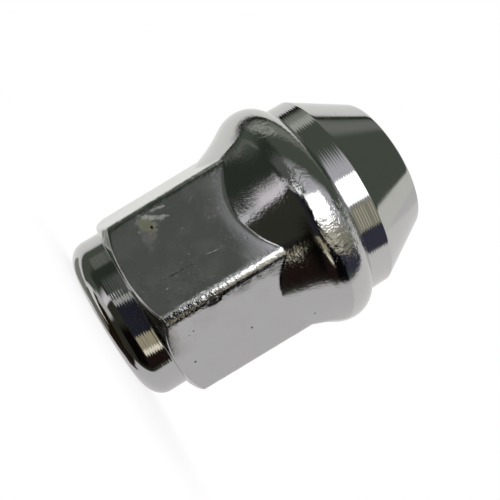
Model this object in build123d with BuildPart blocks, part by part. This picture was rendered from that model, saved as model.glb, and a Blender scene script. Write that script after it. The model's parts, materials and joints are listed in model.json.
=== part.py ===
from build123d import *
from math import cos, radians, sin, sqrt, tan
import os

# Closed-end wheel lug nut: one forged, turned and chrome-plated piece of steel.
# It stands on its closed crown. The origin is the centre of the crown's flat end,
# and +Z runs along the thread axis to the open seat end. Sizes are in millimetres.

# Wrench hexagon
overall_length = 36.7
across_flats = 21.0
hex_corner_radius = 1.3
shoulder_angle = 35.0      # slope of the crown-end chamfer, from a plane across the axis

# Closed crown
crown_step = 0.8           # how far each flat stands out from the crown
crown_height = 4.3         # from the flat end to the foot of the shoulder
crown_rim_radius = 2.9

# Bulged collar, and the flare that leads from the flats out to it
collar_overhang = 1.65     # how far the collar stands out from the hexagon's sharp corners
collar_hex_radius = 4.0    # rounding of the collar on the side of the hexagon
collar_seat_radius = 3.3   # rounding of the collar on the side of the seat
flare_angle = 33.0         # slope of the flare, from the thread axis

# Turned band and conical seat
band_step = 1.7            # how far the collar stands out from the band
band_width = 2.6
cone_angle = 60.0          # included angle of the seat
nose_width = 1.8           # flat ring round the mouth

# Blind hole for an M12 x 1.5 thread, at the diameter it has before tapping
bore_diameter = 10.5
bore_depth = 27.0          # from the open end to the flat bottom that the punch leaves
mouth_chamfer = 1.15       # radial width of the lead-in chamfer
mouth_angle = 90.0         # included angle of the lead-in chamfer

# Radii that follow from the sizes above
flat_radius = across_flats / 2
corner_radius = flat_radius / cos(radians(30))
crown_radius = flat_radius - crown_step
collar_radius = corner_radius + collar_overhang
band_radius = collar_radius - band_step
bore_radius = bore_diameter / 2
mouth_radius = bore_radius + mouth_chamfer
nose_radius = mouth_radius + nose_width

# Heights along the axis, worked down from the open end
band_top = overall_length - (band_radius - nose_radius) / tan(radians(cone_angle / 2))
collar_foot = band_top - band_width
collar_crest = collar_foot - sqrt(collar_seat_radius**2 - (collar_seat_radius - band_step) ** 2)
flare_top = collar_crest - collar_hex_radius * sin(radians(flare_angle))
flare_top_radius = collar_radius - collar_hex_radius * (1 - cos(radians(flare_angle)))
flare_root = flare_top - (flare_top_radius - crown_radius) / tan(radians(flare_angle))
shoulder_top = crown_height + (corner_radius - crown_radius) * tan(radians(shoulder_angle))

# Half section of everything that is turned about the axis
with BuildSketch(Plane.XZ) as turned_section:
    with BuildLine():
        flat_end = Line((0, 0), (crown_radius - crown_rim_radius, 0))
        rim = JernArc(flat_end @ 1, flat_end % 1, crown_rim_radius, 90)
        crown_side = Line(rim @ 1, (crown_radius, flare_root))
        flare_line = Line(crown_side @ 1, (flare_top_radius, flare_top))
        bulge = JernArc(flare_line @ 1, flare_line % 1, collar_hex_radius, flare_angle)
        lip = RadiusArc(bulge @ 1, (band_radius, collar_foot), -collar_seat_radius)
        band_side = Line(lip @ 1, (band_radius, band_top))
        seat_line = Line(band_side @ 1, (nose_radius, overall_length))
        nose_face = Line(seat_line @ 1, (0, overall_length))
        Line(nose_face @ 1, flat_end @ 0)
    make_face()

# Half section of the ring that the chamfer takes off the crown end of the hexagon
with BuildSketch(Plane.XZ) as chamfer_section:
    with BuildLine():
        Polyline(
            (crown_radius, crown_height),
            (corner_radius, shoulder_top),
            (corner_radius, crown_height),
            close=True,
        )
    make_face()

# Half section of the blind hole with its lead-in chamfer
mouth_depth = mouth_chamfer / tan(radians(mouth_angle / 2))
bore_bottom = overall_length - bore_depth
with BuildSketch(Plane.XZ) as bore_section:
    with BuildLine():
        Polyline(
            (0, overall_length),
            (mouth_radius, overall_length),
            (bore_radius, overall_length - mouth_depth),
            (bore_radius, bore_bottom),
            (0, bore_bottom),
            close=True,
        )
    make_face()

with BuildPart() as lug_nut:
    # the hexagon reaches up into the collar, and its crown end is chamfered
    with BuildSketch(Plane.XY.offset(crown_height)) as hexagon:
        RegularPolygon(flat_radius, 6, major_radius=False)
        fillet(hexagon.vertices(), hex_corner_radius)
    extrude(amount=collar_crest - crown_height)
    revolve(chamfer_section.sketch, Axis.Z, mode=Mode.SUBTRACT)
    revolve(turned_section.sketch, Axis.Z)
    # last the hole
    revolve(bore_section.sketch, Axis.Z, mode=Mode.SUBTRACT)

lug_nut.part.label = "lug_nut"

os.makedirs("parts", exist_ok=True)
export_step(lug_nut.part, "parts/lug_nut.step")
print("volume", round(lug_nut.part.volume), "mm3, steel behind the hole", round(bore_bottom, 2), "mm")
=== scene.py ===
# %% [markdown]
# A closed-end wheel lug nut, standing on its crown. The real nut is one piece of steel: forged to
# a hexagon that flares into a bulged collar, then turned to a band and a conical seat, drilled
# and tapped from the seat end, and plated with bright chromium. This lesson dresses the packed
# solid in that finish.

# %% Frame
import bmesh
import bpy
import json
from math import acos, ceil, cos, pi, radians, sin, tan
from mathutils import Matrix, Quaternion, Vector

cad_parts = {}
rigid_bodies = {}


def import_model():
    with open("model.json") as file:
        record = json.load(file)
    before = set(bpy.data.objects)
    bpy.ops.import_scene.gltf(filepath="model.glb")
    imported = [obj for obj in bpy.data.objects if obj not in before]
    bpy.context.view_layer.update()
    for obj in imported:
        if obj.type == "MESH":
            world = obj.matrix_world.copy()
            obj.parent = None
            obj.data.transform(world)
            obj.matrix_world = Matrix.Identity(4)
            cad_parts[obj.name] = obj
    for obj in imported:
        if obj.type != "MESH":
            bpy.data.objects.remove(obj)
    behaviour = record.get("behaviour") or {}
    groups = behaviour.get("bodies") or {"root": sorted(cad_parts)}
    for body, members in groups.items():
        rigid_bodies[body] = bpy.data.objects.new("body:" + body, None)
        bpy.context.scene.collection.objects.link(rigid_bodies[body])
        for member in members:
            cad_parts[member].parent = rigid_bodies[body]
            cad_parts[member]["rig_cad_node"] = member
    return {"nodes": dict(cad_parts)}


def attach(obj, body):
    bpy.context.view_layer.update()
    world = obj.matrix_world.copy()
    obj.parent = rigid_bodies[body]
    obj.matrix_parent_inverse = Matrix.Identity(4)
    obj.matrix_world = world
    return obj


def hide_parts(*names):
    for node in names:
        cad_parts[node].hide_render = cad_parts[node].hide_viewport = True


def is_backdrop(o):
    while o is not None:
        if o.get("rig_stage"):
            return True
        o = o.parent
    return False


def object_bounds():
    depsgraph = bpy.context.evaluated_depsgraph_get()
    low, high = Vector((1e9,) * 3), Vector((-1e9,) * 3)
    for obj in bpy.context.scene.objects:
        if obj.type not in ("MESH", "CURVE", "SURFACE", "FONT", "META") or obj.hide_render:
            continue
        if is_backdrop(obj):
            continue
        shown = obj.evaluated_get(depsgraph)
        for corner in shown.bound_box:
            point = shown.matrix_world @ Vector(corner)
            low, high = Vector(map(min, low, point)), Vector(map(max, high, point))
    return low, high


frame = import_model()
# whatever else the start-up scene holds makes room for the packed model
for thing in list(bpy.data.objects):
    if "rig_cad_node" not in thing and not thing.name.startswith("body:"):
        bpy.data.objects.remove(thing)
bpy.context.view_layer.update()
print("packed nodes:", ", ".join(frame["nodes"]))

# %% [markdown]
# Node trees shape the nut and colour it. One helper adds a node: settings go in by name, and the
# inputs are filled in order or by name, with a number, a colour, or whatever feeds them. Five
# kinds of node come up again and again, so their long names are written once.

# %% One helper for every node
MATH = "ShaderNodeMath"
VECTOR_MATH = "ShaderNodeVectorMath"
MAP_RANGE = "ShaderNodeMapRange"
MIX = "ShaderNodeMix"
NOISE = "ShaderNodeTexNoise"


def add(tree, kind, *inputs, named=None, **settings):
    """Adds a node to a tree, sets its properties and fills its inputs; returns the node."""
    node = tree.nodes.new(kind)
    for name, value in settings.items():
        setattr(node, name, value)
    open_inputs = [socket for socket in node.inputs if socket.enabled]
    pairs = list(zip(open_inputs, inputs))
    pairs += [(node.inputs[name], value) for name, value in (named or {}).items()]
    for socket, value in pairs:
        if value is None:
            continue
        if isinstance(value, bpy.types.Node):
            value = next(out for out in value.outputs if out.enabled)
        if isinstance(value, bpy.types.NodeSocket):
            tree.links.new(value, socket)
        else:
            socket.default_value = value
    return node


print("add:", add.__doc__)

# %% [markdown]
# The sizes are those of the solid, in millimetres, apart from a few that only the finished piece
# has, such as the curve of the shoulder and the thread. Heights are worked down from the open
# end, because that's the end that the lathe cuts.

# %% Sizes in millimetres
MILLIMETRE = 0.001          # in metres, the unit of the scene
HALF_FLAT = radians(30)     # half the angle that one flat takes up, seen from the axis
OVERALL_LENGTH = 36.7
FLAT_RADIUS = 10.5
HEX_CORNER_RADIUS = 1.3
SHOULDER_HEIGHT = 1.45
SHOULDER_BULGE = 0.72       # exponent of the shoulder's curve: 1 is straight, less swells it
CROWN_RADIUS = 9.7
CROWN_HEIGHT = 4.3
RIM_RADIUS = 2.9            # width of the crown's rounded rim
RIM_HEIGHT = 2.3
COLLAR_OVERHANG = 1.65
COLLAR_HEX_RADIUS = 4.0
COLLAR_SEAT_RADIUS = 3.3
FLARE_ANGLE = radians(33)
BAND_STEP = 1.7
BAND_WIDTH = 2.6
SEAT_HALF_ANGLE = radians(30)
NOSE_RADIUS = 8.2
MOUTH_RADIUS = 6.4
BORE_RADIUS = 5.25
BORE_DEPTH = 27.0
THREAD_PITCH = 1.5
THREAD_ROOT_RADIUS = 6.0
THREAD_LENGTH = 21.0
THREAD_HALF_ANGLE = radians(30)

sharp_corner_radius = FLAT_RADIUS / cos(HALF_FLAT)
collar_radius = sharp_corner_radius + COLLAR_OVERHANG
band_radius = collar_radius - BAND_STEP
band_top = OVERALL_LENGTH - (band_radius - NOSE_RADIUS) / tan(SEAT_HALF_ANGLE)
collar_foot = band_top - BAND_WIDTH
lip_turn = acos(1 - BAND_STEP / COLLAR_SEAT_RADIUS)
collar_crest = collar_foot - COLLAR_SEAT_RADIUS * sin(lip_turn)
bulge_corner = collar_crest - COLLAR_HEX_RADIUS * tan(FLARE_ANGLE / 2)
flare_root = bulge_corner - (collar_radius - CROWN_RADIUS) / tan(FLARE_ANGLE)
lip_corner = collar_crest + COLLAR_SEAT_RADIUS * tan(lip_turn / 2)
print("collar", round(2 * collar_radius, 2), "mm across, its crest at", round(collar_crest, 2))
print("band from", round(collar_foot, 2), "to", round(band_top, 2))

# %% [markdown]
# Half a section says everything about a turned shape. It is written as a list of corners, each
# with its own rounding, because a forging die, a lathe tool and a deburring brush leave different
# edges. The helper walks the list: an arc gets a row of the mesh every few degrees, and a
# straight stretch one every so many millimetres, so the mesh is fine only where it needs to be.

# %% Points along a path with rounded corners
FINEST_TURN = radians(8)


def rounded(corners):
    """Points (r, z) through corners given as (r, z, rounding, row spacing up to the next corner)."""
    points = [Vector(corners[0][:2])]
    for before, corner, after in zip(corners, corners[1:], corners[2:] + [None]):
        here = Vector(corner[:2])
        arc = [here]
        if after and corner[2]:
            back = (Vector(before[:2]) - here).normalized()
            ahead = (Vector(after[:2]) - here).normalized()
            turn = pi - back.angle(ahead)
            reach = corner[2] * tan(turn / 2)
            centre = here + (back + ahead).normalized() * corner[2] / cos(turn / 2)
            spoke = here + back * reach - centre
            side = 1 if back.cross(ahead) < 0 else -1
            steps = max(2, ceil(turn / FINEST_TURN))
            turns = [Matrix.Rotation(side * turn * step / steps, 2) for step in range(steps + 1)]
            arc = [centre + matrix @ spoke for matrix in turns]
        first = points[-1]
        run = arc[0] - first
        count = max(1, round(run.length / before[3]))
        points += [first + run * step / count for step in range(1, count)]
        points += arc
    return points


square_corner = rounded([(0, 0, 0, 9), (5, 0, 1, 9), (5, 5, 0, 9)])
print("a square corner, rounded, takes", len(square_corner) - 2, "points")

# %% [markdown]
# The half section runs from the middle of the crown's flat end, out and up round the whole nut,
# to the mouth. The lathe tool leaves a spiral of shallow scallops on the band and on the side of
# the crown. Its feed, the distance from ridge to ridge, is drawn a little coarser than the real
# one, as nine lines across the band, so that it shows. No two scallops are quite as deep,
# because the tool and the work both spring a little.

# %% Half section of the outside, from the crown's middle to the mouth
BAND_LINES = 9
TOOL_FEED = BAND_WIDTH / BAND_LINES
CROWN_FEED = 0.27
ROWS_PER_SCALLOP = 6
SCALLOP_DEPTH = 0.012
CROWN_SCALLOP_SHARE = 0.3   # the crown's scallops are this much as deep
LEAST_SPRING = 0.7
SPRING_RANGE = 0.6
GOLDEN_SHARE = 0.618        # its multiples, less their whole part, follow no pattern
FOOT_FILLET = 0.12
SHOULDER_END = 6.2
NOSE_EDGE = 0.4
BAND_EDGE = 0.2
ROW_TOLERANCE = 0.01        # a row this near to a height counts as on it

# the crown's side is laid out shorter by this share, and stretched down further on
side_share = (CROWN_HEIGHT - RIM_RADIUS) / (CROWN_HEIGHT - RIM_HEIGHT)
outside = rounded([
    # radius, height, rounding, spacing of the rows up to the next corner
    (0, 0, 0, 1.5),
    (CROWN_RADIUS, 0, RIM_RADIUS, side_share * CROWN_FEED / ROWS_PER_SCALLOP),
    (CROWN_RADIUS, CROWN_HEIGHT, 0, 0.07),
    (CROWN_RADIUS, SHOULDER_END, 0, 0.2),
    (CROWN_RADIUS, flare_root, 0, 0.13),
    (collar_radius, bulge_corner, COLLAR_HEX_RADIUS, 0.25),
    (collar_radius, lip_corner, COLLAR_SEAT_RADIUS - FOOT_FILLET, 0.2),
    (band_radius, collar_foot, FOOT_FILLET, TOOL_FEED / ROWS_PER_SCALLOP),
    (band_radius, band_top, BAND_EDGE, 0.4),
    (NOSE_RADIUS, OVERALL_LENGTH, NOSE_EDGE, 0.4),
    (MOUTH_RADIUS, OVERALL_LENGTH, 0, 0.4),
])


def scallop(along):
    """Depth of the tool's cut at a distance counted in feeds, 0 on the ridges."""
    spring = LEAST_SPRING + SPRING_RANGE * (int(along) * GOLDEN_SHARE % 1)
    return SCALLOP_DEPTH * spring * (1 - (2 * (along % 1) - 1) ** 2)


for point in outside:
    # the rim is a little flatter than a quarter circle, and the crown's side starts lower
    if point[1] < RIM_RADIUS:
        point[1] *= RIM_HEIGHT / RIM_RADIUS
    elif point[1] < CROWN_HEIGHT:
        share = (point[1] - RIM_RADIUS) / (CROWN_HEIGHT - RIM_RADIUS)
        point[1] = RIM_HEIGHT + share * (CROWN_HEIGHT - RIM_HEIGHT)
    if RIM_HEIGHT < point[1] < CROWN_HEIGHT - ROW_TOLERANCE:
        point[0] -= CROWN_SCALLOP_SHARE * scallop((point[1] - RIM_HEIGHT) / CROWN_FEED)
    if collar_foot + FOOT_FILLET < point[1] < band_top - BAND_EDGE:
        point[0] -= scallop((point[1] - collar_foot - FOOT_FILLET) / TOOL_FEED)
print(len(outside), "rows outside,", round(TOOL_FEED, 3), "mm of feed")

# %% [markdown]
# Inside, the tap cuts a spiral groove with 60-degree flanks. If every row of the mesh climbs one
# pitch on its way round, a row stays on the same crest, flank or root all the way, so a few rows
# for each turn give clean edges. The crest's edges are eased a little, as a tap leaves them.

# %% Half section of the threaded hole
EASE_DEPTH = 0.02           # how far an eased edge stands back from the crest
EASE_START = 0.97           # where the ease starts on the flank, as a share of its width
EASE_END = 1.1              # and where it ends on the crest
BOTTOM_ROUNDING = 0.5

root_flat = THREAD_PITCH / 8
flank = (THREAD_ROOT_RADIUS - BORE_RADIUS) * tan(THREAD_HALF_ANGLE)
bore_bottom = OVERALL_LENGTH - BORE_DEPTH
thread_low = OVERALL_LENGTH - THREAD_LENGTH

inside = []
for turn in range(ceil(THREAD_LENGTH / THREAD_PITCH) + 1):
    start = OVERALL_LENGTH - turn * THREAD_PITCH
    inside += [
        Vector((THREAD_ROOT_RADIUS, start)),
        Vector((THREAD_ROOT_RADIUS, start - root_flat)),
        Vector((BORE_RADIUS + EASE_DEPTH, start - root_flat - flank * EASE_START)),
        Vector((BORE_RADIUS, start - root_flat - flank * EASE_END)),
        Vector((BORE_RADIUS, start - THREAD_PITCH + flank * EASE_END)),
        Vector((BORE_RADIUS + EASE_DEPTH, start - THREAD_PITCH + flank * EASE_START)),
    ]
bottom = rounded([
    # radius, height, rounding, spacing of the rows up to the next corner
    (BORE_RADIUS, thread_low, 0, 0.9),
    (BORE_RADIUS, bore_bottom, BOTTOM_ROUNDING, 1.5),
    (0, bore_bottom, 0, 1),
])
print(len(inside), "rows in the thread,", len(bottom), "below it")

# %% [markdown]
# The three stretches become one mesh of loose points, the half section. Each point also says
# which zone of the nut it belongs to, so that the shape and the finish can both ask for it: the
# hexagon's rule, forging skin, turning marks and the climb of the thread each have their zone.

# %% Half section as a mesh, with a zone for each point
rows = outside + inside + bottom
zones = {"hexagon": [], "forged": [], "thread": [], "turned": []}
for i, point in enumerate(rows):
    on_outside = i < len(outside)
    forged = on_outside and CROWN_HEIGHT - ROW_TOLERANCE < point[1] < collar_foot
    zones["hexagon"].append(forged and point[1] < collar_crest)
    zones["forged"].append(forged)
    zones["thread"].append(len(outside) <= i < len(outside) + len(inside))
    zones["turned"].append(on_outside and not forged)

section = bpy.data.meshes.new("half_section")
section.from_pydata([(point[0], 0, point[1]) for point in rows], [], [])
for name, flags in zones.items():
    attribute = section.attributes.new(name, "FLOAT", "POINT")
    attribute.data.foreach_set("value", [float(flag) for flag in flags])
print(len(rows), "rows in all:", {name: sum(flags) for name, flags in zones.items()})

# %% [markdown]
# The rule of the outside is short. At each height the radius is the larger of two: what the lathe
# and the die leave round, and the hexagon, which a swelling shoulder rounds off at its crown end.
# It could be cut from solids and its edges bevelled, but smooth minima and maxima of the two
# radii give soft edges of any size, also where the flats run out into the flare. Geometry Nodes
# lay a grid round the axis, one row for each point of the half section, and move its points by
# this rule. The tree's inputs are the sizes of the rule.

# %% Tree of the body and its inputs
COLUMNS = 240
DRAFT = radians(1.3)        # the die's walls lean, so that the forging comes out
DRAFT_FROM = 12.5           # height at which the flats have their true size

body_tree = bpy.data.node_groups.new("body by rule", "GeometryNodeTree")
body_sizes = {
    "Columns": COLUMNS,
    "Flat radius": FLAT_RADIUS,
    "Corner radius": HEX_CORNER_RADIUS,
    "Crown radius": CROWN_RADIUS,
    "Crown height": CROWN_HEIGHT,
    "Shoulder reach": sharp_corner_radius - CROWN_RADIUS,
    "Shoulder height": SHOULDER_HEIGHT,
    "Shoulder bulge": SHOULDER_BULGE,
    "Draft": tan(DRAFT),
    "Draft from": DRAFT_FROM,
    "Edge blend": 0.1,          # softness of the shoulder's edge along the flats
    "Corner blend": 0.35,       # and at the corners
    "Hollow fill": 0.46,        # how much soft steel fills the hollow between flat and flare
    "Hollow slope": 0.6,        # 0 lays the fill along the flat, 1 along the flare
    "Crease rounding": 0.1,     # softness of the crease where the fill starts on the flat
    "Hollow blend": 0.6,        # and of its run-out on the flare
    "Pitch": THREAD_PITCH,
    "Thread low": thread_low,
    "Length": OVERALL_LENGTH,
    "Mouth radius": MOUTH_RADIUS,
    "Forging waves": 0.04,
    "Corner burrs": 0.07,
}
body_tree.interface.new_socket("Section", in_out="INPUT", socket_type="NodeSocketGeometry")
for name, value in body_sizes.items():
    kind = "NodeSocketInt" if isinstance(value, int) else "NodeSocketFloat"
    body_tree.interface.new_socket(name, in_out="INPUT", socket_type=kind)
body_tree.interface.new_socket("Body", in_out="OUTPUT", socket_type="NodeSocketGeometry")
print(len(body_tree.interface.items_tree), "inputs and outputs")

# %% [markdown]
# A point of the grid knows only its number. From that come its row and its column: the row tells
# which point of the half section it stands for, and the column its angle round the axis. The
# columns crowd at the six corners, where the outline turns fast.

# %% Row, column and angle of each point of the grid
CORNERS = 6
CORNER_CROWDING = 0.6

tree = body_tree
size = add(tree, "NodeGroupInput").outputs
counted = add(tree, "GeometryNodeAttributeDomainSize", size["Section"], component="MESH")
row_count = counted.outputs["Point Count"]
column_points = add(tree, MATH, size["Columns"], 1, operation="ADD")
grid = add(tree, "GeometryNodeMeshGrid", 1, 1, column_points, row_count)

index = add(tree, "GeometryNodeInputIndex")
row = add(tree, MATH, index, row_count, operation="MODULO")
column = add(tree, MATH, index, row_count, operation="DIVIDE")
column = add(tree, MATH, column, operation="FLOOR")
even = add(tree, MATH, column, size["Columns"], operation="DIVIDE")
even = add(tree, MATH, even, 2 * pi, operation="MULTIPLY")
ripple = add(tree, MATH, even, CORNERS, operation="MULTIPLY")
ripple = add(tree, MATH, ripple, operation="SINE")
angle = add(tree, MATH, ripple, -CORNER_CROWDING / CORNERS, even, operation="MULTIPLY_ADD")

position = add(tree, "GeometryNodeInputPosition")
place = add(tree, "GeometryNodeSampleIndex", size["Section"], position, row, data_type="FLOAT_VECTOR")
place = add(tree, "ShaderNodeSeparateXYZ", place)
turned_radius = place.outputs["X"]
row_height = place.outputs["Z"]
zone = {}
for name in zones:
    flag = add(tree, "GeometryNodeInputNamedAttribute", name, data_type="FLOAT")
    zone[name] = add(tree, "GeometryNodeSampleIndex", size["Section"], flag, row, data_type="FLOAT")
print(COLUMNS, "columns,", round((1 - CORNER_CROWDING) * 360 / COLUMNS, 2), "degrees apart at a corner")

# %% [markdown]
# The hexagon's radius depends on the angle from its nearest corner. Over a flat it's the flat's
# distance divided by a cosine. Near a corner it's the far side of a small circle, whose middle, the
# hub, lies on the line from the axis to the corner. The flats also lean by the draft of the die.

# %% Hexagon with rounded corners
from_corner = add(tree, MATH, angle, HALF_FLAT, operation="PINGPONG")
from_middle = add(tree, MATH, HALF_FLAT, from_corner, operation="SUBTRACT")
flat = add(tree, MATH, from_middle, operation="COSINE")
flat = add(tree, MATH, size["Flat radius"], flat, operation="DIVIDE")

hub = add(tree, MATH, size["Flat radius"], size["Corner radius"], operation="SUBTRACT")
hub = add(tree, MATH, hub, cos(HALF_FLAT), operation="DIVIDE")
aside = add(tree, MATH, from_corner, operation="SINE")
aside = add(tree, MATH, hub, aside, operation="MULTIPLY")
ahead = add(tree, MATH, from_corner, operation="COSINE")
ahead = add(tree, MATH, hub, ahead, operation="MULTIPLY")
circle_square = add(tree, MATH, size["Corner radius"], 2, operation="POWER")
aside_square = add(tree, MATH, aside, 2, operation="POWER")
reach = add(tree, MATH, circle_square, aside_square, operation="SUBTRACT")
reach = add(tree, MATH, reach, 0, operation="MAXIMUM")
reach = add(tree, MATH, reach, operation="SQRT")
corner = add(tree, MATH, ahead, reach, operation="ADD")

rounding_from = add(tree, MATH, hub, sin(HALF_FLAT), operation="MULTIPLY")
along_flat = add(tree, MATH, from_middle, operation="TANGENT")
along_flat = add(tree, MATH, size["Flat radius"], along_flat, operation="MULTIPLY")
on_corner = add(tree, MATH, along_flat, rounding_from, operation="GREATER_THAN")
hexagon = add(tree, MIX, on_corner, flat, corner, data_type="FLOAT")
lean = add(tree, MATH, row_height, size["Draft from"], operation="SUBTRACT")
lean = add(tree, MATH, lean, size["Draft"], operation="MULTIPLY")
hexagon = add(tree, MATH, hexagon, lean, operation="ADD")
over_corners = 2 * ((FLAT_RADIUS - HEX_CORNER_RADIUS) / cos(HALF_FLAT) + HEX_CORNER_RADIUS)
print("hexagon", 2 * FLAT_RADIUS, "mm across flats,", round(over_corners, 2), "over the corners")

# %% [markdown]
# At the crown end the hexagon ends in a shoulder that swells outwards as it climbs. Its edge is
# crisp along the flats and soft at the corners, where the die wears most. At the other end steel
# has filled the hollow between each flat and the flare: the fill starts at a crease on the flat
# and runs out softly on the flare.

# %% Shoulder at the crown end, and the hollow at the flare
EDGE_ANGLES = (radians(20), radians(28))    # from a flat's middle: crisp within, soft past it
FILL_HEIGHTS = (12, 16)                     # where the fill begins, and where it's whole
BLEND_HEIGHTS = (8, 12)                     # where the soft run-out begins, and where it's whole
LEAST_BLEND = 0.02

climb = add(tree, MATH, row_height, size["Crown height"], operation="SUBTRACT")
climb = add(tree, MATH, climb, 0, operation="MAXIMUM")
climb = add(tree, MATH, climb, size["Shoulder height"], operation="DIVIDE")
climb = add(tree, MATH, climb, size["Shoulder bulge"], operation="POWER")
shoulder = add(tree, MATH, climb, size["Shoulder reach"], size["Crown radius"], operation="MULTIPLY_ADD")
edge = add(tree, MAP_RANGE, from_middle, *EDGE_ANGLES, size["Edge blend"], size["Corner blend"],
           interpolation_type="SMOOTHSTEP")
cut_hexagon = add(tree, MATH, hexagon, shoulder, edge, operation="SMOOTH_MIN")

fill = add(tree, MAP_RANGE, row_height, *FILL_HEIGHTS, 0, size["Hollow fill"])
between = add(tree, MIX, size["Hollow slope"], cut_hexagon, turned_radius, data_type="FLOAT")
filled = add(tree, MATH, between, fill, operation="ADD")
creased = add(tree, MATH, cut_hexagon, filled, size["Crease rounding"], operation="SMOOTH_MAX")
blend = add(tree, MAP_RANGE, row_height, *BLEND_HEIGHTS, LEAST_BLEND, size["Hollow blend"])
joined = add(tree, MATH, turned_radius, creased, blend, operation="SMOOTH_MAX")
radius = add(tree, MIX, zone["hexagon"], turned_radius, joined, data_type="FLOAT")
print("flare's root at", round(flare_root, 2), "mm, the fill is whole from", FILL_HEIGHTS[1], "mm")

# %% [markdown]
# The rows of the thread climb one pitch for each turn. Where the tap stopped, the groove runs out:
# from there upwards the radius may grow only slowly with height. At the mouth a countersink takes
# the thread's start off, so there the radius is never less than that of the countersink.

# %% Climb of the thread, its run-out and the lead-in
RUN_OUT = 0.25              # how fast the groove deepens from where the tap stopped

climb = add(tree, MATH, angle, size["Pitch"], operation="MULTIPLY")
climb = add(tree, MATH, climb, 2 * pi, operation="DIVIDE")
climbed = add(tree, MATH, row_height, climb, operation="ADD")
climbed = add(tree, "ShaderNodeClamp", climbed, size["Thread low"], size["Length"])
height = add(tree, MIX, zone["thread"], row_height, climbed, data_type="FLOAT")
below_top = add(tree, MATH, size["Length"], height, operation="SUBTRACT")
lead_in = add(tree, MATH, size["Mouth radius"], below_top, operation="SUBTRACT")
above_low = add(tree, MATH, height, size["Thread low"], operation="SUBTRACT")
run_out = add(tree, MATH, above_low, RUN_OUT, BORE_RADIUS, operation="MULTIPLY_ADD")
tapped = add(tree, MATH, radius, run_out, operation="MINIMUM")
tapped = add(tree, MATH, tapped, lead_in, operation="MAXIMUM")
radius = add(tree, MIX, zone["thread"], radius, tapped, data_type="FLOAT")
print("thread turns:", THREAD_LENGTH / THREAD_PITCH)

# %% [markdown]
# A forging is never quite true. The die leaves long shallow waves, which only sink here, so that
# the collar keeps its size. Along the corners, which fill last, there are burrs and nicks. One
# blow has left a deep dent in the corner beside the front flat. All three move the surface
# itself, because a mirror shows every bend of it.

# %% Waves, burrs and a dent
WAVE_SCALE = 0.3            # waves for each millimetre
WAVE_TOP = 1.0              # above all that the noise reaches, so the waves only sink
KNOT_SCALE = 1.6            # burrs for each millimetre
BURR_ANGLES = (radians(2.5), radians(5))    # from a corner: full within, none past it
BURR_HEIGHTS = (2, 5)                       # above the flare's root: full below, none above
DENT_PLACE = (6.4, -9.9, 10.8)
DENT_LENGTH = 0.85
DENT_WIDTH = 0.4
DENT_DEPTH = 0.22


def point_at(tree, radius, angle, height):
    """Place of a point from its radius, its angle round the axis and its height."""
    across = add(tree, MATH, angle, operation="COSINE")
    across = add(tree, MATH, radius, across, operation="MULTIPLY")
    along = add(tree, MATH, angle, operation="SINE")
    along = add(tree, MATH, radius, along, operation="MULTIPLY")
    return add(tree, "ShaderNodeCombineXYZ", across, along, height)


here = point_at(tree, radius, angle, height)
waves = add(tree, NOISE, here, named={"Scale": WAVE_SCALE, "Detail": 1.0})
waves = add(tree, MATH, waves, WAVE_TOP, operation="SUBTRACT")
waves = add(tree, MATH, waves, size["Forging waves"], operation="MULTIPLY")
waves = add(tree, MATH, waves, zone["forged"], operation="MULTIPLY")
radius = add(tree, MATH, radius, waves, operation="ADD")

knots = add(tree, NOISE, here, named={"Scale": KNOT_SCALE, "Detail": 2.0, "Roughness": 0.6})
knots = add(tree, MATH, knots, 0.5, operation="SUBTRACT")
knots = add(tree, MATH, knots, size["Corner burrs"], operation="MULTIPLY")
at_corner = add(tree, MAP_RANGE, from_corner, *BURR_ANGLES, 1, 0, interpolation_type="SMOOTHSTEP")
below_flare = add(tree, MAP_RANGE, height, *[flare_root + above for above in BURR_HEIGHTS], 1, 0)
corner_rows = add(tree, MATH, at_corner, below_flare, operation="MULTIPLY")
corner_rows = add(tree, MATH, corner_rows, zone["hexagon"], operation="MULTIPLY")
knots = add(tree, MATH, knots, corner_rows, operation="MULTIPLY")
radius = add(tree, MATH, radius, knots, operation="ADD")

from_dent = add(tree, VECTOR_MATH, here, DENT_PLACE, operation="SUBTRACT")
from_dent = add(tree, VECTOR_MATH, from_dent, (1, 1, DENT_WIDTH / DENT_LENGTH), operation="MULTIPLY")
from_dent = add(tree, VECTOR_MATH, from_dent, operation="LENGTH").outputs["Value"]
dent = add(tree, MAP_RANGE, from_dent, 0, DENT_WIDTH, DENT_DEPTH, 0, interpolation_type="SMOOTHSTEP")
radius = add(tree, MATH, radius, dent, operation="SUBTRACT")
print("waves up to", body_sizes["Forging waves"], "mm deep, dent", DENT_DEPTH)

# %% [markdown]
# Now each point of the grid goes to its place, in metres. The zones go with it as attributes for
# the plate. The seam and the two poles are closed by merging points that fall together, and the
# tree ends with a real mesh that carries its finish.

# %% Points in their places
MERGE_DISTANCE = 1e-6

here = point_at(tree, radius, angle, height)
metres = add(tree, VECTOR_MATH, here, named={"Scale": MILLIMETRE}, operation="SCALE")
shaped = add(tree, "GeometryNodeSetPosition", grid.outputs["Mesh"], None, metres)
for name, share in (zone | {"corner": corner_rows}).items():
    shaped = add(tree, "GeometryNodeStoreNamedAttribute", shaped, None, name, share, data_type="FLOAT")
closed = add(tree, "GeometryNodeMergeByDistance", shaped, named={"Distance": MERGE_DISTANCE})
smooth = add(tree, "GeometryNodeSetShadeSmooth", closed)
real = add(tree, "GeometryNodeRealizeInstances", smooth)
chrome = bpy.data.materials.new("bright_chromium_plate_over_forged_steel")
dressed = add(tree, "GeometryNodeSetMaterial", real, None, chrome)
add(tree, "NodeGroupOutput", dressed)
print(len(tree.nodes), "nodes shape the body")

# %% [markdown]
# The tree runs as a modifier on the half section. Its inputs are set by their identifiers before
# the object is evaluated, and the result is taken over as a plain mesh, so that nothing is left
# to be worked out when the nut is posed or exported. The material is still empty here and gets
# its nodes further on.

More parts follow.
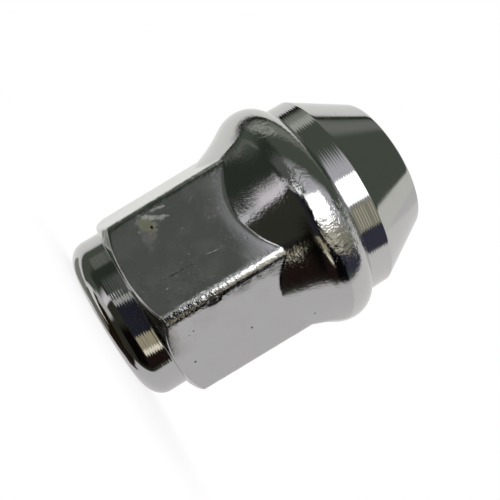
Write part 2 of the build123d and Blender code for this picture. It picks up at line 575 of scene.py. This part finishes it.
# %% Body as a plain mesh
def plain_mesh(name, base, tree, values):
    """Runs a tree with these values on a mesh; returns the result as an object with a plain mesh."""
    carrier = bpy.data.objects.new(name + "_carrier", base)
    bpy.context.scene.collection.objects.link(carrier)
    modifier = carrier.modifiers.new("rule", "NODES")
    modifier.node_group = tree
    for item in tree.interface.items_tree:
        if item.in_out == "INPUT" and item.name in values:
            modifier[item.identifier] = values[item.name]
    evaluated = carrier.evaluated_get(bpy.context.evaluated_depsgraph_get())
    mesh = bpy.data.meshes.new_from_object(evaluated)
    bpy.data.objects.remove(carrier)
    # the grid brings an empty slot, and the finish is in the next one
    mesh.materials.pop(index=0)
    mesh.name = name
    piece = bpy.data.objects.new(name, mesh)
    bpy.context.scene.collection.objects.link(piece)
    return piece


body = plain_mesh("lug_nut_body", section, body_tree, body_sizes)
body.data.calc_loop_triangles()
print("body:", len(body.data.vertices), "points,", len(body.data.loop_triangles), "triangles")
print("finish:", [finish.name for finish in body.data.materials])
print("slots in use:", {face.material_index for face in body.data.polygons})

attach(body, "root")
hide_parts("lug_nut")

# %% [markdown]
# Colours are written as sRGB hex values, as a picture editor shows them, and one function turns
# them to the linear values that shaders use.

# %% Colours
def linear(hex_colour):
    """Linear RGBA from an sRGB hex colour."""
    channels = [int(hex_colour[i:i + 2], 16) / 255 for i in (1, 3, 5)]
    return [c / 12.92 if c <= 0.04045 else ((c + 0.055) / 1.055) ** 2.4 for c in channels] + [1]


print("a middle grey, #808080, is", round(linear("#808080")[0], 3), "in linear values")

# %% [markdown]
# Bright chromium plate is a mirror with a faint cool tint. What gives it away as a forged and
# turned part is what lies under the plate, because the plate follows it: forging skin on the
# hexagon and the collar, turning marks on the crown, the band and the seat, and pits where scale
# was pressed in. All of these are relief, so they're summed as a height in millimetres and go
# to one Bump node. Masks say where each of them lies: some come from the attributes that the
# body's rows carry, some from the place on the nut.

# %% Chromium plate over forged and turned steel: masks
FRONT_FADE = (-FLAT_RADIUS + 0.9, -FLAT_RADIUS + 0.5)       # in Y: none behind it, full before it
FLARE_FADE = (flare_root, flare_root + 2)                   # in Z: from the flats to the flare
COLLAR_FADE = (collar_crest - 1.6, collar_crest - 0.6)      # in Z: none below it, full above it
ON_FLATS = 0.15             # share of the skin's height that the flats keep

spots = {
    # mask: how far its edge fades, and the middle and reach of each spot
    "worn": (1.3, [((7.8, -11.4, 25.0), 2.7), ((1.2, -13.5, 23.9), 0.6), ((-6.0, -12.2, 24.2), 0.8)]),
    "nick": (0.16, [((9.5, -4.3, 6.2), 0.03), ((9.6, -4.4, 13.1), 0.02), ((11.6, -2.5, 19.9), 0.04)]),
    # the dent's mask only darkens the plate there: painted shade in the dent
    "dent": (0.2, [(DENT_PLACE, 0.36)]),
}

chrome.use_nodes = True
tree = chrome.node_tree
tree.nodes.clear()
millimetres = add(tree, "ShaderNodeTexCoord").outputs["Object"]
millimetres = add(tree, VECTOR_MATH, millimetres, named={"Scale": 1 / MILLIMETRE}, operation="SCALE")
xyz = add(tree, "ShaderNodeSeparateXYZ", millimetres).outputs
mask = {}
for name in [*zones, "corner"]:
    mask[name] = add(tree, "ShaderNodeAttribute", attribute_name=name).outputs["Fac"]
mask["front"] = add(tree, MAP_RANGE, xyz["Y"], *FRONT_FADE, 0, 1)
mask["stretched"] = add(tree, MAP_RANGE, xyz["Z"], *FLARE_FADE, ON_FLATS, 1)
mask["flats"] = add(tree, MAP_RANGE, xyz["Z"], *FLARE_FADE, 1, 0)
mask["collar"] = add(tree, MAP_RANGE, xyz["Z"], *COLLAR_FADE, 0, 1)
for name in ("flats", "collar"):
    mask[name] = add(tree, MATH, mask[name], mask["forged"], operation="MULTIPLY")
for name, (fade, places) in spots.items():
    mask[name] = 0.0
    for middle, reach in places:
        gap = add(tree, VECTOR_MATH, millimetres, middle, operation="DISTANCE").outputs["Value"]
        ball = add(tree, MAP_RANGE, gap, reach, reach + fade, 1, 0, interpolation_type="SMOOTHSTEP")
        mask[name] = add(tree, MATH, mask[name], ball, operation="MAXIMUM")
print(len(mask), "masks:", ", ".join(mask))

# %% [markdown]
# Forging skin is orange peel a few tenths of a millimetre across. Plate smooths it but never
# quite hides it, and on the collar, where the steel flowed furthest, it is coarser and comes in
# patches. Turning marks run round the axis, so their noise is squeezed across it until it
# depends on the place along the axis alone. A fine ripple rides on the scallops that the mesh
# already has. The ripple and the rings on the seat are drawn coarser than a finishing cut leaves
# them, so that they show.

# %% Grains
ALONG_AXIS = 0.02           # what is left across the axis when noise is squeezed to rings

grains = {
    # grain in millimetres, detail, roughness, and how much of the place across the axis counts
    "patches": (4.0, 2, 0.5, 1),
    "skin": (0.32, 3, 0.6, 1),
    "burrs": (0.35, 3, 0.6, 1),
    "flow": (0.8, 3, 0.65, 1),
    "ripple": (0.11, 1, 0.5, ALONG_AXIS),
    "seat rings": (0.3, 2, 0.6, ALONG_AXIS),
    "ragged": (0.7, 3, 0.65, 1),
    "grit": (0.15, 2, 0.5, 1),
    "haze": (2.2, 3, 0.5, 1),
}
cloud = {}
for name, (grain, detail, roughness, across) in grains.items():
    place = add(tree, VECTOR_MATH, millimetres, (across, across, 1), operation="MULTIPLY")
    noise = add(tree, NOISE, place,
                named={"Scale": 1 / grain, "Detail": detail, "Roughness": roughness})
    cloud[name] = add(tree, MATH, noise, 0.5, operation="SUBTRACT")

blotches = {
    # mask: its cloud, where that starts to count, where it counts in full, and what is always left
    "patches": ("patches", -0.12, 0.16, 0.25),
    "film": ("haze", -0.02, 0.12, 0),
    "dust": ("grit", 0.12, 0.2, 0),
}
for name, (source, start, full, least) in blotches.items():
    mask[name] = add(tree, MAP_RANGE, cloud[source], start, full, least, 1)
mask["dust"] = add(tree, MATH, mask["dust"], mask["patches"], operation="MULTIPLY")
for name in ("film", "dust"):
    mask[name] = add(tree, MATH, mask[name], mask["flats"], operation="MULTIPLY")
print(len(cloud), "clouds, grains from", min(grains.values())[0], "to", max(grains.values())[0], "mm")

# %% [markdown]
# Pits are spaced out at random: each cell of a Voronoi pattern holds one, and its random colour
# decides whether the pit is there and how deep it is. The same mask darkens the plate in the pit,
# as painted shade.

# %% Pits
PIT_SPACING = 1.5
PIT_RADIUS = 0.13
PIT_SHARE = 0.3             # share of the cells that hold a pit
ON_TURNED = 0.5             # pits on turned faces are this much as deep

cells = add(tree, "ShaderNodeTexVoronoi", millimetres, named={"Scale": 1 / PIT_SPACING}).outputs
chance = add(tree, "ShaderNodeSeparateColor", cells["Color"]).outputs["Red"]
there = add(tree, MAP_RANGE, chance, 1 - PIT_SHARE, 1, 0, 1)
hole = add(tree, MAP_RANGE, cells["Distance"], 0, PIT_RADIUS / PIT_SPACING, 1, 0,
           interpolation_type="SMOOTHSTEP")
hole = add(tree, MATH, hole, there, operation="MULTIPLY")
outer = add(tree, MATH, mask["turned"], ON_TURNED, mask["forged"], operation="MULTIPLY_ADD")
mask["pit"] = add(tree, MATH, hole, outer, operation="MULTIPLY")
print("about one pit in", round(PIT_SPACING ** 3 / PIT_SHARE, 1), "cubic millimetres of the pattern")

# %% [markdown]
# The front flat carries the marks of use: a yellowed stain with a brown tail round a deep pit,
# pale smears beside it, and a few short scratches. Each mark is an ellipse on the flat: the
# place is turned to the mark's direction and squeezed to its length and width, so that the
# distance to its middle gives the shape, and noise makes its edge ragged.

# %% Marks on the front flat
WHOLE_WITHIN = 0.3          # share of a mark's half width in which it is at its full strength

marks = [
    # kind, x and z of the middle, angle on the flat, length and width
    ("scratch", 2.2, 13.25, 81, 1.5, 0.11),
    ("scratch", 3.05, 7.6, 98, 0.8, 0.11),
    ("scratch", -4.0, 14.5, 121, 1.2, 0.08),
    ("scratch", 4.4, 12.0, 60, 0.5, 0.10),
    ("scratch", -1.0, 15.5, 75, 0.7, 0.07),
    ("scuff", 2.1, 9.4, 86, 3.2, 0.2),
    ("stain", -4.0, 9.2, 45, 3.2, 2.3),
    ("tail", -2.7, 8.8, -16, 3.4, 1.7),
    ("deep pit", -3.45, 9.45, 0, 0.45, 0.35),
    ("smear", -5.0, 10.9, 77, 1.8, 0.5),
    ("smear", -4.3, 10.1, 52, 3.0, 0.8),
    ("smear", -3.9, 11.0, 62, 1.5, 0.45),
]
raggedness = {"scratch": 2.0, "scuff": 5.0, "stain": 2.0, "tail": 2.0, "deep pit": 0.6, "smear": 2.8}
for kind, x, z, turn, length, width in marks:
    place = add(tree, VECTOR_MATH, millimetres, (x, 0, z), operation="SUBTRACT")
    place = add(tree, "ShaderNodeVectorRotate", place, named={"Angle": radians(turn)},
                rotation_type="Y_AXIS")
    place = add(tree, VECTOR_MATH, place, (2 / length, 0, 2 / width), operation="MULTIPLY")
    gap = add(tree, VECTOR_MATH, place, operation="LENGTH").outputs["Value"]
    gap = add(tree, MATH, cloud["ragged"], raggedness[kind], gap, operation="MULTIPLY_ADD")
    shape = add(tree, MAP_RANGE, gap, WHOLE_WITHIN, 1, 1, 0, interpolation_type="SMOOTHSTEP")
    mask[kind] = add(tree, MATH, mask.get(kind, 0.0), shape, operation="MAXIMUM")
for kind in raggedness:
    mask[kind] = add(tree, MATH, mask[kind], mask["front"], operation="MULTIPLY")
print(len(marks), "marks of", len(raggedness), "kinds")

# %% [markdown]
# Now the relief is one sum. Each layer is a pattern, its height in millimetres, and the masks
# that hold it to its place.

# %% Relief
layers = [
    (cloud["skin"], 0.028, ["forged", "patches", "stretched"]),
    (cloud["burrs"], 0.05, ["corner"]),
    (cloud["flow"], 0.12, ["worn", "collar"]),
    (cloud["flow"], 0.01, ["patches", "collar"]),
    (cloud["ripple"], 0.0012, ["turned"]),
    (cloud["seat rings"], 0.0012, ["turned"]),
    (mask["pit"], -0.035, []),
    (mask["nick"], -0.04, []),
    (mask["scratch"], -0.009, []),
    (mask["scuff"], -0.004, []),
    (mask["deep pit"], -0.2, []),
    (cloud["grit"], 0.02, ["stain"]),
]
relief = 0.0
for pattern, depth, places in layers:
    level = add(tree, MATH, pattern, depth, operation="MULTIPLY")
    for name in places:
        level = add(tree, MATH, level, mask[name], operation="MULTIPLY")
    relief = add(tree, MATH, relief, level, operation="ADD")
bump = add(tree, "ShaderNodeBump", named={"Height": relief, "Distance": MILLIMETRE, "Strength": 1.0})
print(len(layers), "layers of relief")

# %% [markdown]
# The plate itself is one mirror colour, with a thin haze of handling that makes its roughness
# uneven. What lies on it is added as coats, such as a film of grease, dust, the stain and the
# smears: each has a colour of its own, is less of a metal and is duller. Pits, nicks, the dent and
# the deep pit are darkened in the same list: that is painted shade, as little light gets out of a
# hollow.

# %% Chromium plate over forged and turned steel: shader
CHROMIUM = "#C6C7C7"
MIRROR_ROUGHNESS = 0.05
HAZE = 0.06                 # what the haze adds to the roughness where it is thickest
HAZE_RANGE = (-0.1, 0.2)
MIX_FACTOR = 0              # a Mix node keeps its colour sockets behind those of the other types
MIX_FIRST = 6
MIX_SECOND = 7
MIX_RESULT = 2

coats_and_hollow_shade = [
    # mask, how much of the plate it covers, colour, metallic, roughness
    ("film", 0.04, "#9C998C", 0.5, 0.4),
    ("dust", 0.28, "#C8C8C0", 0.3, 0.5),
    ("tail", 0.55, "#6B655A", 0.6, 0.42),
    ("stain", 0.85, "#7E8163", 0.5, 0.42),
    ("smear", 0.45, "#D8D8D2", 0.4, 0.4),
    ("scuff", 0.5, "#2E302B", 1.0, 0.3),
    # painted shade from here on: the plate is darkened in pits, nicks, the dent and the deep pit
    ("pit", 0.6, "#2A2A26", 1.0, 0.3),
    ("nick", 0.7, "#3A3936", 1.0, 0.3),
    ("dent", 0.9, "#1C1C1C", 1.0, 0.3),
    ("deep pit", 1.0, "#16170C", 1.0, 0.5),
]
colour = linear(CHROMIUM)
metal = 1.0
rough = add(tree, MAP_RANGE, cloud["haze"], *HAZE_RANGE, MIRROR_ROUGHNESS, MIRROR_ROUGHNESS + HAZE)
for name, cover, overlay_colour, overlay_metal, overlay_rough in coats_and_hollow_shade:
    share = add(tree, MATH, mask[name], cover, operation="MULTIPLY")
    sockets = {MIX_FACTOR: share, MIX_FIRST: colour, MIX_SECOND: linear(overlay_colour)}
    colour = add(tree, MIX, named=sockets, data_type="RGBA").outputs[MIX_RESULT]
    metal = add(tree, MIX, share, metal, overlay_metal, data_type="FLOAT")
    rough = add(tree, MIX, share, rough, overlay_rough, data_type="FLOAT")
plate = add(tree, "ShaderNodeBsdfPrincipled", named={
    "Base Color": colour, "Metallic": metal, "Roughness": rough, "Normal": bump,
})
add(tree, "ShaderNodeOutputMaterial", plate)
print(len(tree.nodes), "nodes in the plate")

# %% [markdown]
# The nut stands on matt white paper. The camera sees the paper's own light and shade through a
# veil of plain white, so the shadow at the nut's foot is faint, and further out it sees plain white
# alone, so that the ground has no edge. Metal doesn't mirror the paper, because the tent further
# on stands in for the surroundings.

# %% Floor
WHITE = "#FFFFFF"
FLOOR_HALF = 1.5            # metres
SHADOW_REACH = 0.12         # metres from the nut to where the ground is plain white
SHADOW_VEIL = 0.85          # share of plain white that lies over the shadow at the nut

corners = [(-1, -1), (1, -1), (1, 1), (-1, 1)]
floor_mesh = bpy.data.meshes.new("floor")
floor_mesh.from_pydata([(x * FLOOR_HALF, y * FLOOR_HALF, 0) for x, y in corners], [], [(0, 1, 2, 3)])
floor = bpy.data.objects.new("floor", floor_mesh)
bpy.context.scene.collection.objects.link(floor)
floor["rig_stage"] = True
floor.visible_glossy = False

paper = bpy.data.materials.new("matt_white_paper")
floor_mesh.materials.append(paper)
paper.use_nodes = True
tree = paper.node_tree
tree.nodes.clear()
rays = add(tree, "ShaderNodeLightPath").outputs
ground = add(tree, "ShaderNodeTexCoord").outputs["Object"]
away = add(tree, VECTOR_MATH, ground, operation="LENGTH").outputs["Value"]
veil = add(tree, MAP_RANGE, away, SHADOW_REACH / 3, SHADOW_REACH, SHADOW_VEIL, 1,
           interpolation_type="SMOOTHSTEP")
share = add(tree, MATH, rays["Is Camera Ray"], veil, operation="MULTIPLY")
matt = add(tree, "ShaderNodeBsdfDiffuse", linear("#FAFAFA"))
glow = add(tree, "ShaderNodeEmission", linear(WHITE), 1.0)
add(tree, "ShaderNodeOutputMaterial", add(tree, "ShaderNodeMixShader", share, matt, glow))
print("floor", 2 * FLOOR_HALF, "m wide, shadow within", 1000 * SHADOW_REACH, "mm")

# %% [markdown]
# The world is white at strength 1 for the camera and for rays that metal or glass sends on. For
# the light on the paper it is a little less, because a large soft lamp adds the rest and casts
# the shadow. The lamp itself isn't mirrored.

# %% World and lamp
WORLD_ON_FLOOR = 0.85
LAMP_SIZE = 0.3
LAMP_WATTS = 1.2
LAMP_PLACE = (-0.15, 0.1, 0.5)
NUT_MIDDLE = Vector((0, 0, 0.018))

world = bpy.data.worlds.new("white studio")
bpy.context.scene.world = world
world.use_nodes = True
tree = world.node_tree
tree.nodes.clear()
rays = add(tree, "ShaderNodeLightPath").outputs
seen = add(tree, MATH, rays["Is Camera Ray"], rays["Is Glossy Ray"], operation="MAXIMUM")
seen = add(tree, MATH, seen, rays["Is Transmission Ray"], operation="MAXIMUM")
plain = add(tree, "ShaderNodeBackground", linear(WHITE), WORLD_ON_FLOOR)
white = add(tree, "ShaderNodeBackground", linear(WHITE), 1.0)
add(tree, "ShaderNodeOutputWorld", add(tree, "ShaderNodeMixShader", seen, plain, white))

lamp_data = bpy.data.lights.new("soft lamp", "AREA")
lamp_data.shape = "DISK"
lamp_data.size = LAMP_SIZE
lamp_data.energy = LAMP_WATTS
lamp = bpy.data.objects.new("soft lamp", lamp_data)
bpy.context.scene.collection.objects.link(lamp)
lamp.location = LAMP_PLACE
lamp.rotation_euler = (NUT_MIDDLE - lamp.location).to_track_quat("-Z", "Y").to_euler()
lamp.visible_glossy = False
print("lamp of", LAMP_WATTS, "W,", round((NUT_MIDDLE - lamp.location).length, 2), "m from the nut")

# %% [markdown]
# Chrome shows little of itself and much of what stands round it. White surroundings would leave
# the nut without shape, and a bright side against a dark one draws it. A tent round the nut
# stands for the surroundings: it's seen only in the mirror, and its dark and light fields are
# named by direction, in degrees of azimuth and elevation. They're painted in order, so a later
# field covers an earlier one. A field with a lean stands slanting.

# %% Fields of the tent
TENT_COLOUR = "#D6D3D3"

fields = [
    # what stands there, azimuth from, to, elevation from, to, lean, softness, colour, strength
    ("white side behind the crown", 120, 176, -90, 90, 0, 12, "#EEEEEA", 1.0),
    ("paler above", 4, 80, 10, 58, 0, 10, "#E6E3E1", 1.0),
    ("dark ground straight below", -180, 180, -100, -64, 0, 6, "#221709", 1.0),
    ("grey ground beside it", 105, 165, -80, -60, 0, 10, "#77776E", 1.0),
    ("light strip straight below", -185, -150, -88, -62, 0, 8, "#F5F5EC", 1.0),
    ("dark side behind the camera", -180, 3, -60, 90, 0, 4, "#545B51", 1.0),
    ("dark edge of that side", -182, -174, -10, 90, 0, 3, "#262822", 1.0),
    ("darker middle", -146, -102, -44, 8, 0, 16, "#343A32", 1.0),
    ("grey patch low beside it", -164, -143, -18.5, -14, 0, 6, "#72746E", 1.0),
    ("grey column", -170, -149, 2, 38, 0.2, 8, "#8E9088", 1.0),
    ("bright core of the grey column", -159, -147, 8, 32, 0.2, 6, "#B8BBB2", 1.0),
    ("grey column higher up", -172, -142, 34, 56, 0, 12, "#86897F", 1.0),
    ("grey strip above", -172, -148, 54, 84, 0, 16, "#7E817A", 1.0),
    ("facing the front flat", -124, -94, -18, 4, 0, 12, "#5D605B", 1.0),
    ("glow beside the window", -95, -46, 5, 58, 0.7, 22, "#CCCACF", 1.0),
    ("pale slope", -113, -88, -56, -28, 0, 18, "#F2ECF0", 1.0),
    ("bright strip before the front", -104, -86, -30, -18, 0, 4, "#E4E0E4", 1.0),
    ("dark ground in front", -98, 8, -76, -14, 0, 3, "#37382F", 1.0),
    ("black ground in front", -64, 2, -54, -22, 0, 20, "#0C0A08", 1.0),
    ("window", -79, -54, -4, 36, 0.1, 4, "#FFFFFF", 3.0),
    ("beige wall", -51, -22, -4, 50, 0.3, 4, "#989584", 1.0),
    ("pale foot of the beige wall", -51, -22, -4, 20, 0.3, 5, "#D2CCB8", 1.0),
    ("navy panel", -23, 1, -4, 52, 0.4, 2, "#3F3E4C", 1.0),
    ("dark edge of the ground", -82, 3, -14, -4, 0, 2, "#1C1A16", 1.0),
    ("light post", -97, -88, -21, -13.5, 0.9, 3, "#B8B8B4", 1.0),
    ("navy ground", -88, -44, -20, -13.5, 0.9, 2, "#2A2A36", 1.0),
    ("black ground beside it", -21, 2, -28, -12, 0, 2, "#221916", 1.0),
    ("beige ground", -45, -19, -19.5, -13, 0.9, 2, "#B5AA90", 1.0),
    ("beige post", -26, -18, -19.5, -13, 0.9, 2, "#F4ECD8", 1.2),
    ("bright strip beside the front", -94, -84, -11, -3, 0, 3, "#FFFFFF", 1.4),
    ("black edge of the navy panel", -30, 3.5, -12, 8, 0, 1.5, "#0A0A0C", 1.0),
    ("pale strip on the ground", -130, -82, -69, -54, 0, 14, "#D0D0CC", 1.0),
    ("light corner above", -14, 20, 54, 82, 0, 8, "#DEDDD7", 1.0),
    ("dark ground behind", 44, 76, -86, -60, 0, 8, "#242424", 1.0),
    ("grey ground behind", 128, 166, -62, -38, 0, 8, "#8A8A86", 1.0),
    ("dark curtain", 90, 112, -4, 64, 0, 6, "#343634", 1.0),
]
print(len(fields), "fields on a ground of", TENT_COLOUR)

# %% [markdown]
# The cloth of the tent works out the direction of each of its points as seen from the nut. Each
# field is then a soft rectangle in azimuth and elevation that is mixed over what is already
# there.

# %% Cloth of the tent
TENT_RADIUS = 0.06
DEGREES = 180 / pi          # in a radian
CRISPER = 3                 # the upper and lower edges of a field are this much crisper


def inside_span(tree, angle, start, end, softness, whole_turn):
    """1 within a span of angles, fading to 0 over the softness at each end."""
    away = add(tree, MATH, angle, (start + end) / 2, operation="SUBTRACT")
    if whole_turn:
        away = add(tree, MATH, away, 180, -180, operation="WRAP")
    away = add(tree, MATH, away, operation="ABSOLUTE")
    half = (end - start) / 2
    return add(tree, MAP_RANGE, away, half - softness / 2, half + softness / 2, 1, 0,
               interpolation_type="SMOOTHSTEP")


tent_cloth = bpy.data.materials.new("tent_of_light_and_dark_fields")
tent_cloth.use_nodes = True
tree = tent_cloth.node_tree
tree.nodes.clear()
place = add(tree, "ShaderNodeTexCoord").outputs["Object"]
place = add(tree, "ShaderNodeSeparateXYZ", place).outputs
azimuth = add(tree, MATH, place["Y"], place["X"], operation="ARCTAN2")
azimuth = add(tree, MATH, azimuth, DEGREES, operation="MULTIPLY")
elevation = add(tree, MATH, place["Z"], TENT_RADIUS, operation="DIVIDE")
elevation = add(tree, MATH, elevation, operation="ARCSINE")
elevation = add(tree, MATH, elevation, DEGREES, operation="MULTIPLY")

shown = linear(TENT_COLOUR)
for name, start, end, low, high, lean, softness, colour, strength in fields:
    leaned = add(tree, MATH, elevation, -lean, lean * (low + high) / 2, operation="MULTIPLY_ADD")
    upright = add(tree, MATH, azimuth, leaned, operation="ADD")
    wide = inside_span(tree, upright, start, end, softness, True)
    tall = inside_span(tree, elevation, low, high, softness / CRISPER, False)
    share = add(tree, MATH, wide, tall, operation="MULTIPLY")
    light = [channel * strength for channel in linear(colour)[:3]] + [1]
    sockets = {MIX_FACTOR: share, MIX_FIRST: shown, MIX_SECOND: light}
    shown = add(tree, MIX, named=sockets, data_type="RGBA").outputs[MIX_RESULT]
add(tree, "ShaderNodeOutputMaterial", add(tree, "ShaderNodeEmission", shown, 1.0))
tent_cloth.cycles.emission_sampling = "NONE"
print(len(tree.nodes), "nodes in the cloth")

# %% [markdown]
# The tent is a small sphere round the nut's middle. Only mirrored rays meet it, so it casts no
# shadow, lights nothing else and hides nothing from the camera.

# %% Tent round the nut
TENT_DETAIL = 5

shell = bmesh.new()
bmesh.ops.create_icosphere(shell, subdivisions=TENT_DETAIL, radius=TENT_RADIUS)
tent_mesh = bpy.data.meshes.new("tent")
shell.to_mesh(tent_mesh)
shell.free()
tent_mesh.materials.append(tent_cloth)
tent = bpy.data.objects.new("tent", tent_mesh)
bpy.context.scene.collection.objects.link(tent)
tent.location = NUT_MIDDLE
for ray in ("camera", "diffuse", "transmission", "volume_scatter", "shadow"):
    setattr(tent, "visible_" + ray, False)
tent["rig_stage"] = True
print("tent of", len(tent_mesh.polygons), "faces,", 1000 * TENT_RADIUS, "mm in radius")

# %% [markdown]
# The camera stands where the photograph was taken: close to the nut, a little above the floor on
# the side of one flat, looking slightly up, and rolled so that the seat points to the upper
# right of the picture.

# %% Camera
CAMERA_PLACE = Vector((24.41, -76.91, 6.02)) * MILLIMETRE
LOOK_AZIMUTH = radians(107.03)
LOOK_ELEVATION = radians(8.64)
ROLL = radians(58.78)
LENS = 50.4
SENSOR = 36
NEAR_LIMIT = 0.005          # metres, well in front of the nut

level = cos(LOOK_ELEVATION)
look = Vector((cos(LOOK_AZIMUTH) * level, sin(LOOK_AZIMUTH) * level, sin(LOOK_ELEVATION)))
camera_data = bpy.data.cameras.new("camera")
camera_data.lens = LENS
camera_data.sensor_width = SENSOR
camera_data.clip_start = NEAR_LIMIT
camera = bpy.data.objects.new("camera", camera_data)
bpy.context.scene.collection.objects.link(camera)
camera.location = CAMERA_PLACE
camera.rotation_euler = (look.to_track_quat("-Z", "Y") @ Quaternion((0, 0, 1), ROLL)).to_euler()
bpy.context.scene.camera = camera
bpy.context.scene.view_settings.view_transform = "Standard"
print("camera", round(1000 * (CAMERA_PLACE - NUT_MIDDLE).length, 1), "mm from the nut's middle")

# %% [markdown]
# The size of the box round the dressed nut is printed, in millimetres. Looks may not change
# sizes. It has to lie inside it.

# %% Size of the dressed nut
low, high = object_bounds()
print("visual box, mm:", [round(1000 * (b - a), 2) for a, b in zip(low, high)])
